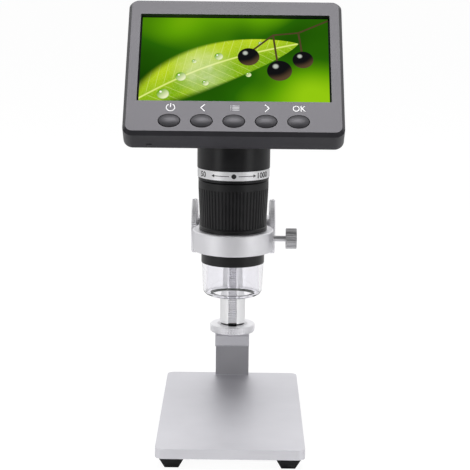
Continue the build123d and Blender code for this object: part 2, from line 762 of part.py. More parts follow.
def neck_parts():
    over = head_depth + pierce_z
    neck = rod(neck_low_radius, (0, tube_y, neck_bottom), (0, tube_y, band_top + band_inset))
    neck += rod(neck_radius, (0, tube_y, band_top + band_inset), (0, tube_y, over))
    plate = head * slab(neck_plate_width, neck_plate_length, neck_plate_corner,
                        -head_depth - neck_plate_thickness, -head_depth, y=head_drop)
    plate -= rod(neck_radius, (0, tube_y, neck_bottom), (0, tube_y, over))
    neck -= rod(barrel_bore, (0, tube_y, neck_bottom), (0, tube_y, collar_bottom))
    neck -= rod(neck_inside, (0, tube_y, collar_bottom), (0, tube_y, over))
    above = 2 * over
    neck -= head * block((-above, -above, -head_depth), (above, above, above))

    shelf_low = band_top + neck_shelf_height
    shelf_high = shelf_low + neck_shelf
    shelf = rod(neck_inside, (0, tube_y, shelf_low), (0, tube_y, shelf_high))
    shelf -= block((-neck_radius, tube_y - neck_radius, shelf_low),
                   (neck_radius, tube_y + neck_inside - neck_shelf_reach, shelf_high))
    neck += shelf
    dimmer_y = tube_y + neck_radius + dimmer_stand_out - dimmer_radius
    dimmer_low = shelf_high + dimmer_pot_height + working_gap
    dimmer_high = dimmer_low + dimmer_thickness
    room = dimmer_radius + working_gap
    neck -= rod(room, (0, dimmer_y, dimmer_low - working_gap), (0, dimmer_y, dimmer_high + working_gap))
    wheel = Pos(0, dimmer_y, dimmer_low) * knurled_disc(dimmer_radius, dimmer_knurl_depth, dimmer_knurls,
                                                       dimmer_thickness, dimmer_knurl_depth)
    wheel -= rod(dimmer_shaft_radius + running_fit, (0, dimmer_y, dimmer_low), (0, dimmer_y, dimmer_high))
    pot = block((-dimmer_pot_width / 2, dimmer_y - dimmer_pot_length / 2, shelf_high),
                (dimmer_pot_width / 2, dimmer_y + dimmer_pot_length / 2, shelf_high + dimmer_pot_height))
    pot &= rod(neck_inside - working_gap, (0, tube_y, shelf_high), (0, tube_y, dimmer_low))
    pot += rod(dimmer_shaft_radius, (0, dimmer_y, shelf_high), (0, dimmer_y, dimmer_high))

    screw_x = neck_plate_width / 2 - neck_screw_inset
    screw_y = neck_plate_length / 2 - neck_screw_inset
    screws = []
    for x in (-screw_x, screw_x):
        for y in (head_drop - screw_y, head_drop + screw_y):
            low = -head_depth - neck_plate_thickness
            plate -= head * rod(neck_screw_radius, (x, y, low), (x, y, -head_depth))
            shape = pan_screw(neck_screw_radius, neck_screw_head, neck_screw_head_height,
                              neck_plate_thickness + head_wall)
            screws.append(head * Pos(x, y, low) * shape)

    band = rod(neck_low_radius + band_thickness, (0, tube_y, band_bottom), (0, tube_y, band_top))
    band -= rod(neck_low_radius, (0, tube_y, band_bottom), (0, tube_y, band_top))
    board = rod(neck_inside - working_gap, (0, tube_y, collar_top), (0, tube_y, sensor_board_top))
    half = sensor_size / 2
    chip = block((-half, tube_y - half, collar_top - sensor_height), (half, tube_y + half, collar_top))
    return {"neck": neck, "neck_plate": plate, "neck_screws": group(screws), "scale_band": band,
            "sensor_board": board,
            "image_sensor": chip, "dimmer_wheel": wheel, "dimmer_pot": pot}


def head_outline(shrink=0.0):
    """Width, height and corner radius of the head at an inset from its outside."""
    return head_width - 2 * shrink, head_height - 2 * shrink, head_corner - min(shrink, head_corner / 2)


def case_screw_places():
    x = inside_width / 2 - case_screw_side
    top = screen_y + screen_height / 2 + case_screw_gap + case_screw_boss
    bottom = -inside_height / 2 + case_screw_low
    return [(side * x, y) for side in (-1, 1) for y in (bottom, top)]


def button_places():
    first = -(button_count - 1) / 2 * button_pitch
    return [(first + i * button_pitch, button_y) for i in range(button_count)]


def oval(grow=0.0):
    return Ellipse(button_width / 2 + grow, button_height / 2 + grow)


def front_bezel():
    width, height, corner = head_outline()
    lip_taper = degrees(atan(face_inset / face_bevel))
    bezel = slab(width, height, corner, -bezel_depth, -face_bevel)
    bezel += Pos(0, 0, -face_bevel) * extrude(RectangleRounded(width, height, corner), face_bevel,
                                              taper=lip_taper)
    inner_width, inner_height, inner_corner = head_outline(head_wall)
    bezel -= slab(inner_width, inner_height, inner_corner, -bezel_depth, -bezel_face)
    bezel -= slab(window_width, window_height, window_corner, -bezel_face, 0, y=window_y)
    for x, y in button_places():
        bezel -= Pos(x, y, -bezel_face) * extrude(oval(button_gap), bezel_face)
    boss_low = screen_back - case_boss_gap
    for x, y in case_screw_places():
        boss = rod(case_screw_boss, (x, y, boss_low), (x, y, -bezel_face))
        bezel += boss - rod(case_screw_radius, (x, y, boss_low), (x, y, -bezel_face))
    return bezel


def rear_cover():
    width, height, corner = head_outline()
    cover = slab(width, height, corner, -head_depth, -bezel_depth)
    rear_rim = cover.faces().sort_by(Axis.Z)[0].edges()
    cover = fillet(rear_rim, min(head_rear_round, head_wall * 1.2))
    inner_width, inner_height, inner_corner = head_outline(head_wall)
    cover -= slab(inner_width, inner_height, inner_corner, inside_back, -bezel_depth)
    cover -= slab(cable_width + cable_hole_gap, 2 * cable_bend, cable_hole_gap / 2, -head_depth, inside_back,
                  y=head_drop)
    boss_top = screen_back - case_boss_gap
    counterbore = -head_depth + case_screw_head_height
    for x, y in case_screw_places():
        boss = rod(case_cover_boss, (x, y, inside_back), (x, y, boss_top))
        cover += boss & slab(width - head_wall, height - head_wall, corner, inside_back, boss_top)
    for x, y in case_screw_places():
        cover -= rod(case_screw_radius, (x, y, -head_depth), (x, y, boss_top))
        cover -= rod(case_screw_head, (x, y, -head_depth), (x, y, counterbore))
    for x, y in screen_posts():
        cover += rod(screen_post_radius, (x, y, inside_back), (x, y, screen_back))
    for x, y in board_posts():
        cover += rod(board_post_radius, (x, y, inside_back), (x, y, board_back))
    for x in (-button_board_width / 3, button_board_width / 3):
        post_top = button_board_front - board_thickness
        if post_top > inside_back:
            cover += rod(board_post_radius, (x, button_y, inside_back), (x, button_y, post_top))
    wall = block_on_left(usb_y, usb_width + working_gap, board_back - usb_height - working_gap / 2,
                         board_back + working_gap / 2)
    wall += block_on_left(card_y, card_width + working_gap, board_back - card_height - working_gap / 2,
                          board_back + working_gap / 2)
    cover -= wall
    slot_z = -(bezel_depth + head_depth) / 2
    cover -= block((slot_across - slot_length / 2, -head_height / 2, slot_z - slot_height / 2),
                   (slot_across + slot_length / 2, -inside_height / 2, slot_z + slot_height / 2))
    for x in (-1, 1):
        for y in (-1, 1):
            place_x = x * (neck_plate_width / 2 - neck_screw_inset)
            place_y = head_drop + y * (neck_plate_length / 2 - neck_screw_inset)
            cover -= rod(neck_screw_radius, (place_x, place_y, -head_depth),
                         (place_x, place_y, inside_back))
    return cover


def block_on_left(y, width, low, high):
    """A cutter through the head's left wall."""
    return block((-head_width / 2, y - width / 2, low), (-inside_width / 2, y + width / 2, high))


def screen_posts():
    x = screen_width / 2 - screen_post_inset
    low = screen_y - screen_height / 2 + screen_post_inset
    high = screen_y + screen_height / 2 - screen_post_inset
    return [(side * x, y) for side in (-1, 1) for y in (low, high)]


def board_posts():
    socket_end = -head_width / 2 + socket_setback + max(usb_depth, card_depth)
    xs = (socket_end + working_gap + board_post_radius, board_right - board_post_inset)
    ys = (board_bottom + board_post_inset, board_top - board_post_inset)
    return [(x, y) for x in xs for y in ys]


def screen_parts():
    frame = slab(screen_width, screen_height, window_corner, screen_back, screen_front, y=screen_y)
    inner_w, inner_h = screen_width - 2 * screen_sheet, screen_height - 2 * screen_sheet
    frame -= slab(inner_w, inner_h, window_corner / 2, screen_back + screen_sheet,
                  screen_front - screen_sheet, y=screen_y)
    opening_w, opening_h = window_width + screen_edge, window_height + screen_edge
    frame -= slab(opening_w, opening_h, window_corner, screen_front - screen_sheet, screen_front, y=window_y)
    panel = block((-inner_w / 2 + panel_clearance, screen_y - inner_h / 2 + panel_clearance,
                   screen_back + screen_sheet),
                  (inner_w / 2 - panel_clearance, screen_y + inner_h / 2 - panel_clearance,
                   screen_front - screen_sheet))
    return {"screen_frame": head * frame, "screen_panel": head * panel}


def crown():
    """A ball flattened across, whose top crowns a button and meets its oval at the rim's level."""
    rise = button_stand_out - button_rim
    radius = ((button_width / 2) ** 2 + rise ** 2) / (2 * rise)
    ball = scale(Sphere(radius), by=(1, button_height / button_width, 1))
    return Pos(0, 0, button_stand_out - radius) * ball


def button_parts():
    nodes = {}
    flange_top_z = screen_front - button_play
    flange_low_z = flange_top_z - button_flange_thickness
    key = Pos(0, 0, flange_low_z) * extrude(oval(), button_stand_out - flange_low_z)
    key &= crown()
    key += Pos(0, 0, flange_low_z) * extrude(oval(button_flange), button_flange_thickness)
    key += rod(button_stem_radius, (0, 0, stem_bottom), (0, 0, flange_low_z))
    switches = []
    for name, (x, y) in zip(button_names, button_places()):
        nodes["button_" + name] = head * Pos(x, y, 0) * key
        half = switch_size / 2
        body = block((x - half, y - half, button_board_front),
                     (x + half, y + half, button_board_front + switch_height))
        body += rod(switch_plunger_radius, (x, y, button_board_front),
                    (x, y, button_board_front + switch_height + switch_plunger_height))
        switches.append(head * body)
    nodes["button_switches"] = group(switches)
    half_w, half_h = button_board_width / 2, button_board_height / 2
    nodes["button_board"] = head * block((-half_w, button_y - half_h, button_board_front - board_thickness),
                                         (half_w, button_y + half_h, button_board_front))
    return nodes


def chip(width, length, height, x, y):
    """A component on the main board's rear face."""
    return block((x - width / 2, y - length / 2, board_back - height),
                 (x + width / 2, y + length / 2, board_back))


def electronics_parts():
    board = block((board_left, board_bottom, board_back), (board_right, board_top, board_front))
    tongue_low = head_drop + cable_run
    board += block((board_right, tongue_low, board_back),
                   (board_tongue_width / 2, tongue_low + board_tongue_height, board_front))
    board += chip(processor_size, processor_size, processor_height, board_left + processor_from_left,
                  board_top - processor_from_top)
    board += chip(memory_width, memory_length, memory_height, board_right - memory_from_right,
                  board_bottom + memory_from_bottom)
    board += chip(coil_size, coil_size, coil_height, board_right - coil_from_right,
                  board_bottom + coil_from_bottom)
    board += block((-cable_width / 2, tongue_low, board_back - connector_height),
                   (cable_width / 2, tongue_low + connector_depth, board_back))

    mouth_x = -head_width / 2 + socket_setback
    usb = block((mouth_x, usb_y - usb_width / 2, board_back - usb_height),
                (mouth_x + usb_depth, usb_y + usb_width / 2, board_back))
    usb -= block((mouth_x, usb_y - usb_width / 2 + socket_wall, board_back - usb_height + socket_wall),
                 (mouth_x + usb_depth - socket_wall, usb_y + usb_width / 2 - socket_wall,
                  board_back - socket_wall))
    usb += block((mouth_x + usb_mouth, usb_y - usb_width / 4, board_back - usb_height / 2 - socket_wall / 2),
                 (mouth_x + usb_depth, usb_y + usb_width / 4, board_back - usb_height / 2 + socket_wall / 2))
    card = block((mouth_x, card_y - card_width / 2, board_back - card_height),
                 (mouth_x + card_depth, card_y + card_width / 2, board_back))
    card -= block((mouth_x, card_y - card_width / 2 + socket_wall, board_back - card_height + card_mouth),
                  (mouth_x + card_depth - socket_wall, card_y + card_width / 2 - socket_wall,
                   board_back - card_mouth))

    battery_left = cable_width / 2 + battery_gap
    battery = block((battery_left, screen_y - battery_length / 2, inside_back),
                    (battery_left + battery_width, screen_y + battery_length / 2,
                     inside_back + battery_thickness))
    battery = fillet(battery.edges().filter_by(Axis.Y), min(battery_round, battery_thickness * 0.4))

    turn_z = board_back - connector_height / 2
    along = Vector(0, cos(tilt), sin(tilt))
    corner = Vector(0, tube_y, pierce_z + (turn_z + head_depth) / cos(tilt))
    corner_y = head_drop + (turn_z + head_depth) * tan(tilt)
    end = corner + along * max(tongue_low - corner_y, 1)
    route = FilletPolyline((0, tube_y, sensor_board_top), tuple(corner), tuple(end),
                           radius=min(cable_bend, (end - corner).length * 0.9))
    section = Plane(origin=(0, tube_y, sensor_board_top)) * Rectangle(cable_width, cable_thickness)
    cable = sweep(section, path=route)
    return {"main_board": head * board, "usb_socket": head * usb, "card_socket": head * card,
            "battery": head * battery, "flat_cable": cable}


def case_screws():
    tip = screen_front - (bezel_depth - bezel_face) / 2
    shape = pan_screw(case_screw_radius, case_screw_head, case_screw_head_height,
                      tip + head_depth - case_screw_head_height)
    places = case_screw_places()
    return group([head * Pos(x, y, -head_depth + case_screw_head_height) * shape for x, y in places])


def all_parts():
    nodes = {}
    for parts in (base_parts(), column_parts(), carriage_parts(), drive_parts(), clamp_parts(),
                  barrel_parts(), focus_parts(), neck_parts(), screen_parts(), button_parts(),
                  electronics_parts()):
        nodes.update(parts)
    nodes["front_bezel"] = head * front_bezel()
    nodes["rear_cover"] = head * rear_cover()
    nodes["case_screws"] = case_screws()
    return nodes


os.makedirs("parts", exist_ok=True)
for name, shape in all_parts().items():
    export_step(shape, "parts/" + name + ".step")
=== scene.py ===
import bpy
import json
from math import cos, pi, radians, sin
from mathutils import Matrix, Vector


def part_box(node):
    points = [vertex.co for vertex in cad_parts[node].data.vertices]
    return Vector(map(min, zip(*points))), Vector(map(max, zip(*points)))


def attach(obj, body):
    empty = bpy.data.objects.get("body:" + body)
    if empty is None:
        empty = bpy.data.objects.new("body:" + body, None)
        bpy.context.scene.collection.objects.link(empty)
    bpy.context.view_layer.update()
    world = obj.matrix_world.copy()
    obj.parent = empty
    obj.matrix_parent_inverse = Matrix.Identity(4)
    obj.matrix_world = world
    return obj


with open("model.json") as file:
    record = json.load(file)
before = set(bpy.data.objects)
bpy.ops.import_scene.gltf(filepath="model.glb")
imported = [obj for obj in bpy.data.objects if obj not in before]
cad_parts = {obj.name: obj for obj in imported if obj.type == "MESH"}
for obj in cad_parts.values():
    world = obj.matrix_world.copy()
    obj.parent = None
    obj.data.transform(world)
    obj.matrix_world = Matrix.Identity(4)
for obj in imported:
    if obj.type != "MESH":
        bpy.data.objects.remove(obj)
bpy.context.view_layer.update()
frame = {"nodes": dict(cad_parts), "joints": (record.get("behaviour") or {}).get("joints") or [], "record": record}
mm = 0.001
print("frame loaded,", len(frame["nodes"]), "nodes")


# Places read from the frame

def boxCenter(node):
    low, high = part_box(node)
    return (low + high) / 2


def reach(node, direction):  # lowest and highest place of a node along a direction
    along = [direction.dot(v.co) for v in frame["nodes"][node].data.vertices]
    return min(along), max(along)


pressJoint = next(j for j in frame["joints"] if j["name"] == "menu_press")
across = Vector((1, 0, 0))
faceNormal = -Vector(pressJoint["axis"]).normalized()  # out of the screen
faceUp = faceNormal.cross(across)  # up along the screen
faceLevel = reach("front_bezel", faceNormal)[1]
faceMiddle = sum(reach("front_bezel", faceUp)) / 2
panelFront = reach("screen_panel", faceNormal)[1] - faceLevel
pictureMiddle = sum(reach("screen_panel", faceUp)) / 2 - faceMiddle
buttonMiddle = sum(reach("button_menu", faceUp)) / 2 - faceMiddle
buttonAcross = {n: boxCenter("button_" + n).x for n in ("power", "left", "menu", "right", "ok")}
headTurn = Matrix((across, faceUp, faceNormal)).transposed().to_4x4()
headPlace = Matrix.Translation(faceNormal * faceLevel + faceUp * faceMiddle) @ headTurn
bandLow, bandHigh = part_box("scale_band")
bandRadius = (bandHigh.x - bandLow.x) / 2
bandCenter = boxCenter("scale_band")
columnLow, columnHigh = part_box("column")
columnRadius = (columnHigh.x - columnLow.x) / 2
columnCenter = boxCenter("column")
knobCenter = boxCenter("height_knob_left")  # both height knobs stand on one axis
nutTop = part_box("lock_nut")[1].z
bracketLow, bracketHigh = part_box("angle_bracket")


# Shader maths

class Value:  # one output socket, so that shader maths reads as maths
    def __init__(self, tree, socket):
        self.tree = tree
        self.socket = socket

    def __add__(self, other):
        return self.tree.math("ADD", self, other)

    def __radd__(self, other):
        return self.tree.math("ADD", other, self)

    def __sub__(self, other):
        return self.tree.math("SUBTRACT", self, other)

    def __rsub__(self, other):
        return self.tree.math("SUBTRACT", other, self)

    def __mul__(self, other):
        return self.tree.math("MULTIPLY", self, other)

    def __rmul__(self, other):
        return self.tree.math("MULTIPLY", other, self)

    def __truediv__(self, other):
        return self.tree.math("DIVIDE", self, other)

    def __pow__(self, other):
        return self.tree.math("POWER", self, other)

    def __abs__(self):
        return self.tree.math("ABSOLUTE", self)


class Made:  # a new node, whose outputs are read by name or number
    def __init__(self, tree, node):
        self.tree = tree
        self.node = node

    def __getitem__(self, key):
        return Value(self.tree, self.node.outputs[key])


class Tree:
    def __init__(self, owner):
        owner.use_nodes = True
        self.owner = owner
        self.nodes = owner.node_tree.nodes
        self.links = owner.node_tree.links
        self.nodes.clear()

    def node(self, kind, settings=None, sockets=None):
        made = self.nodes.new(kind)
        for key, value in (settings or {}).items():
            if key == "stops":
                ramp = made.color_ramp
                while len(ramp.elements) < len(value):
                    ramp.elements.new(1.0)
                for element, (position, color) in zip(ramp.elements, value):
                    element.position = position
                    element.color = (*color, 1.0)
            else:
                setattr(made, key, value)
        for key, value in (sockets or {}).items():
            if isinstance(value, Value):
                self.links.new(value.socket, made.inputs[key])
            else:
                made.inputs[key].default_value = value
        return Made(self, made)

    def math(self, operation, first, second=None):
        sockets = {0: first} if second is None else {0: first, 1: second}
        return self.node("ShaderNodeMath", {"operation": operation}, sockets)[0]

    def low(self, first, second):
        return self.math("MINIMUM", first, second)

    def high(self, first, second):
        return self.math("MAXIMUM", first, second)

    def clamp(self, value):  # kept between 0 and 1
        return self.low(self.high(value, 0.0), 1.0)

    def length(self, first, second):
        return self.math("SQRT", first * first + second * second)

    def position(self):
        return self.node("ShaderNodeTexCoord")["Object"]

    def centered(self, center):  # object coordinates from a point of the part
        sockets = {"Vector": self.position(), "Location": -center}
        return self.node("ShaderNodeMapping", None, sockets)["Vector"]

    def split(self, vector):
        parts = self.node("ShaderNodeSeparateXYZ", None, {"Vector": vector})
        return parts["X"], parts["Y"], parts["Z"]

    def noise(self, size, detail=2.0, vector=None):  # size of the grains in metres
        sockets = {"Vector": vector or self.position(), "Scale": 1 / size, "Detail": detail}
        return self.node("ShaderNodeTexNoise", None, sockets)["Fac"]

    def streaks(self, along, size, detail=2.0):  # lines that depend on one coordinate
        sockets = {"W": along, "Scale": 1 / size, "Detail": detail}
        return self.node("ShaderNodeTexNoise", {"noise_dimensions": "1D"}, sockets)["Fac"]

    def remap(self, value, low, high, newLow=0.0, newHigh=1.0):  # eased at both ends
        settings = {"interpolation_type": "SMOOTHSTEP"}
        sockets = {"Value": value, "From Min": low, "From Max": high, "To Min": newLow, "To Max": newHigh}
        return self.node("ShaderNodeMapRange", settings, sockets)["Result"]

    def fade(self, value, place, start, end):  # 0 at start and 1 at end, both measured from a place
        return self.remap(value, place + start, place + end)

    def mix(self, factor, first, second):  # sockets 6 and 7 are the two colours
        colors = [c if isinstance(c, Value) else (*c, 1.0) for c in (first, second)]
        sockets = {0: factor, 6: colors[0], 7: colors[1]}
        return self.node("ShaderNodeMix", {"data_type": "RGBA"}, sockets)[2]

    def bump(self, height, look):
        sockets = {"Height": height, "Distance": look["depth"], "Strength": look["strength"]}
        return self.node("ShaderNodeBump", None, sockets)["Normal"]

    def surface(self, sockets):
        shader = self.node("ShaderNodeBsdfPrincipled", None, sockets)
        self.node("ShaderNodeOutputMaterial", None, {"Surface": shader["BSDF"]})
        return self.owner


def finish(name):
    return Tree(bpy.data.materials.new(name))


def uneven(look, pattern):  # roughness that follows a pattern
    return look["roughness"] + (pattern - 0.5) * look["spread"]


# Finishes of the metal parts

def metalSurface(tree, look, color, pattern):
    return tree.surface({"Base Color": color, "Metallic": 1.0, "Roughness": uneven(look, pattern),
                         "Normal": tree.bump(pattern, look)})


def paintedWallShade(tree):  # painted shade: 1 on the front face of the bracket's wall, less towards its flange
    y, z = tree.split(tree.position())[1:]
    front = tree.fade(y, bracketHigh.y, -4.7 * mm, -4.9 * mm)
    wall = tree.fade(y, bracketHigh.y, -11 * mm, -6 * mm)
    aboveFoot = tree.fade(z, bracketLow.z, 0.1 * mm, 0.3 * mm)
    underFlange = tree.fade(z, bracketHigh.z, -5 * mm, -8 * mm)
    return front * wall * aboveFoot * underFlange


def paintedGrooveShade(tree):  # painted shade: 1 in the column's groove over the lock nut
    x, y, z = tree.split(tree.position())
    radius = tree.length(x - columnCenter.x, y - columnCenter.y)
    inGroove = tree.fade(radius, columnRadius, -0.2 * mm, -0.4 * mm)
    nearNut = tree.fade(z, nutTop, 1.4 * mm, 1.1 * mm)
    return inGroove * nearNut


def blastedMetal(name, look):  # bead-blasted and anodised
    tree = finish(name)
    grain = tree.noise(look["grain"], 3.0)
    cloud = tree.noise(look["cloud"])
    color = tree.mix(cloud, look["dark"], look["light"])
    # painted shade darkens the front of the bracket's wall under its flange
    if "shade" in look:
        color = tree.mix(paintedWallShade(tree), color, look["shade"])
    return metalSurface(tree, look, color, grain)


def turnedMetal(name, look):  # lathe marks round the height knobs' axis
    tree = finish(name)
    x, y, z = tree.split(tree.centered(knobCenter))
    marks = tree.streaks(tree.length(y, z) + x, look["mark"], 3.0)
    cloud = tree.noise(look["cloud"])
    color = tree.mix(marks * 0.6 + cloud * 0.4, look["dark"], look["light"])
    return metalSurface(tree, look, color, marks)


def groundSteel(name, look):  # grinding marks round the column and faint lengthwise streaks
    tree = finish(name)
    x, y, z = tree.split(tree.position())
    rings = tree.streaks(z, look["mark"])
    runs = tree.streaks(x + y * 0.3, look["run"])
    color = tree.mix(rings * 0.45 + runs * 0.55, look["dark"], look["light"])
    # painted shade darkens the column's groove over the lock nut
    if "recess" in look:
        color = tree.mix(paintedGrooveShade(tree), color, look["recess"])
    return metalSurface(tree, look, color, rings)


def platedSteel(name, look):  # small screws and sockets
    tree = finish(name)
    spots = tree.noise(look["grain"], 4.0)
    return metalSurface(tree, look, tree.mix(spots, look["dark"], look["light"]), spots)


# Finishes of the plastic, rubber and glass parts

def mouldedPlastic(name, look):  # fine spark-eroded texture, a little uneven in gloss
    tree = finish(name)
    grain = tree.noise(look["grain"])
    cloud = tree.noise(look["cloud"], 3.0)
    color = tree.mix(tree.remap(cloud, 0.3, 0.7), look["dark"], look["light"])
    return tree.surface({"Base Color": color, "Roughness": uneven(look, cloud),
                         "Specular IOR Level": look["gloss"],
                         "Specular Tint": (*look.get("tint", (1, 1, 1)), 1.0),
                         "Normal": tree.bump(grain, look)})


def mouldedRubber(name, look):  # dust makes it paler and rougher
    tree = finish(name)
    grain = tree.noise(look["grain"], 4.0)
    dust = tree.remap(tree.noise(look["cloud"], 5.0), 0.55, 0.75)
    color = tree.mix(dust, look["dark"], look["light"])
    return tree.surface({"Base Color": color, "Roughness": look["roughness"] + dust * look["spread"],
                         "Specular IOR Level": look["gloss"], "Normal": tree.bump(grain, look)})


def clearAcrylic(name, look):
    tree = finish(name)
    wave = tree.noise(look["wave"], 1.0)
    return tree.surface({"Base Color": (*look["color"], 1.0), "Roughness": look["roughness"],
                         "IOR": look["ior"], "Transmission Weight": 1.0, "Normal": tree.bump(wave, look)})


def polishedGlass(name, look):  # coated against reflections
    tree = finish(name)
    wave = tree.noise(look["wave"], 1.0)
    sheen = tree.mix(wave, look["dark"], look["light"])
    return tree.surface({"Base Color": sheen, "Roughness": look["roughness"], "IOR": look["ior"],
                         "Transmission Weight": look["through"], "Coat Weight": look["coat"],
                         "Coat Tint": (*look["coatTint"], 1.0)})


def darkGlass(name, look):  # the panel's glass outside its picture
    tree = finish(name)
    smear = tree.noise(look["smear"], 3.0)
    return tree.surface({"Base Color": (*look["color"], 1.0), "Specular IOR Level": look["gloss"],
                         "Roughness": look["roughness"] + smear * look["spread"], "IOR": look["ior"]})


# Finishes of the boards and the prints

def circuitBoard(name, look):  # solder mask over copper tracks, with tinned pads
    tree = finish(name)
    tracks = tree.node("ShaderNodeTexBrick", look["layout"], {
        "Vector": tree.position(), "Scale": look["pitch"], "Mortar Size": look["trackWidth"]})["Fac"]
    vias = tree.node("ShaderNodeTexVoronoi", None, {"Vector": tree.position(), "Scale": look["vias"]})
    pads = tree.remap(vias["Distance"], *look["padEdge"])
    mask = tree.mix(tracks, look["mask"], look["track"])
    color = tree.mix(pads, mask, look["pad"])
    return tree.surface({"Base Color": color, "Metallic": pads * look["metal"],
                         "Roughness": look["roughness"] - pads * look["spread"],
                         "Normal": tree.bump(tracks + pads, look)})


def printedFilm(name, look):  # silver film with a faint brushed grain
    tree = finish(name)
    grain = tree.streaks(tree.split(tree.position())[2], look["mark"])
    cloud = tree.noise(look["cloud"])
    color = tree.mix(grain * 0.5 + cloud * 0.5, look["dark"], look["light"])
    return tree.surface({"Base Color": color, "Metallic": look["metal"], "Roughness": uneven(look, grain),
                         "Normal": tree.bump(grain, look)})


def ink(name, dark, light):  # screen-printed, slightly uneven
    look = {"grain": 0.3 * mm, "roughness": 0.5, "depth": 0.01 * mm, "strength": 0.3}
    tree = finish(name)
    grain = tree.noise(look["grain"], 3.0)
    return tree.surface({"Base Color": tree.mix(grain, dark, light), "Roughness": look["roughness"],
                         "Normal": tree.bump(grain, look)})


# The display's picture: a leaf with dew and dark berries on a stalk, over a soft green ground.
# Its places are in shares of the picture's height from its middle, a round thing as x, y and radius.

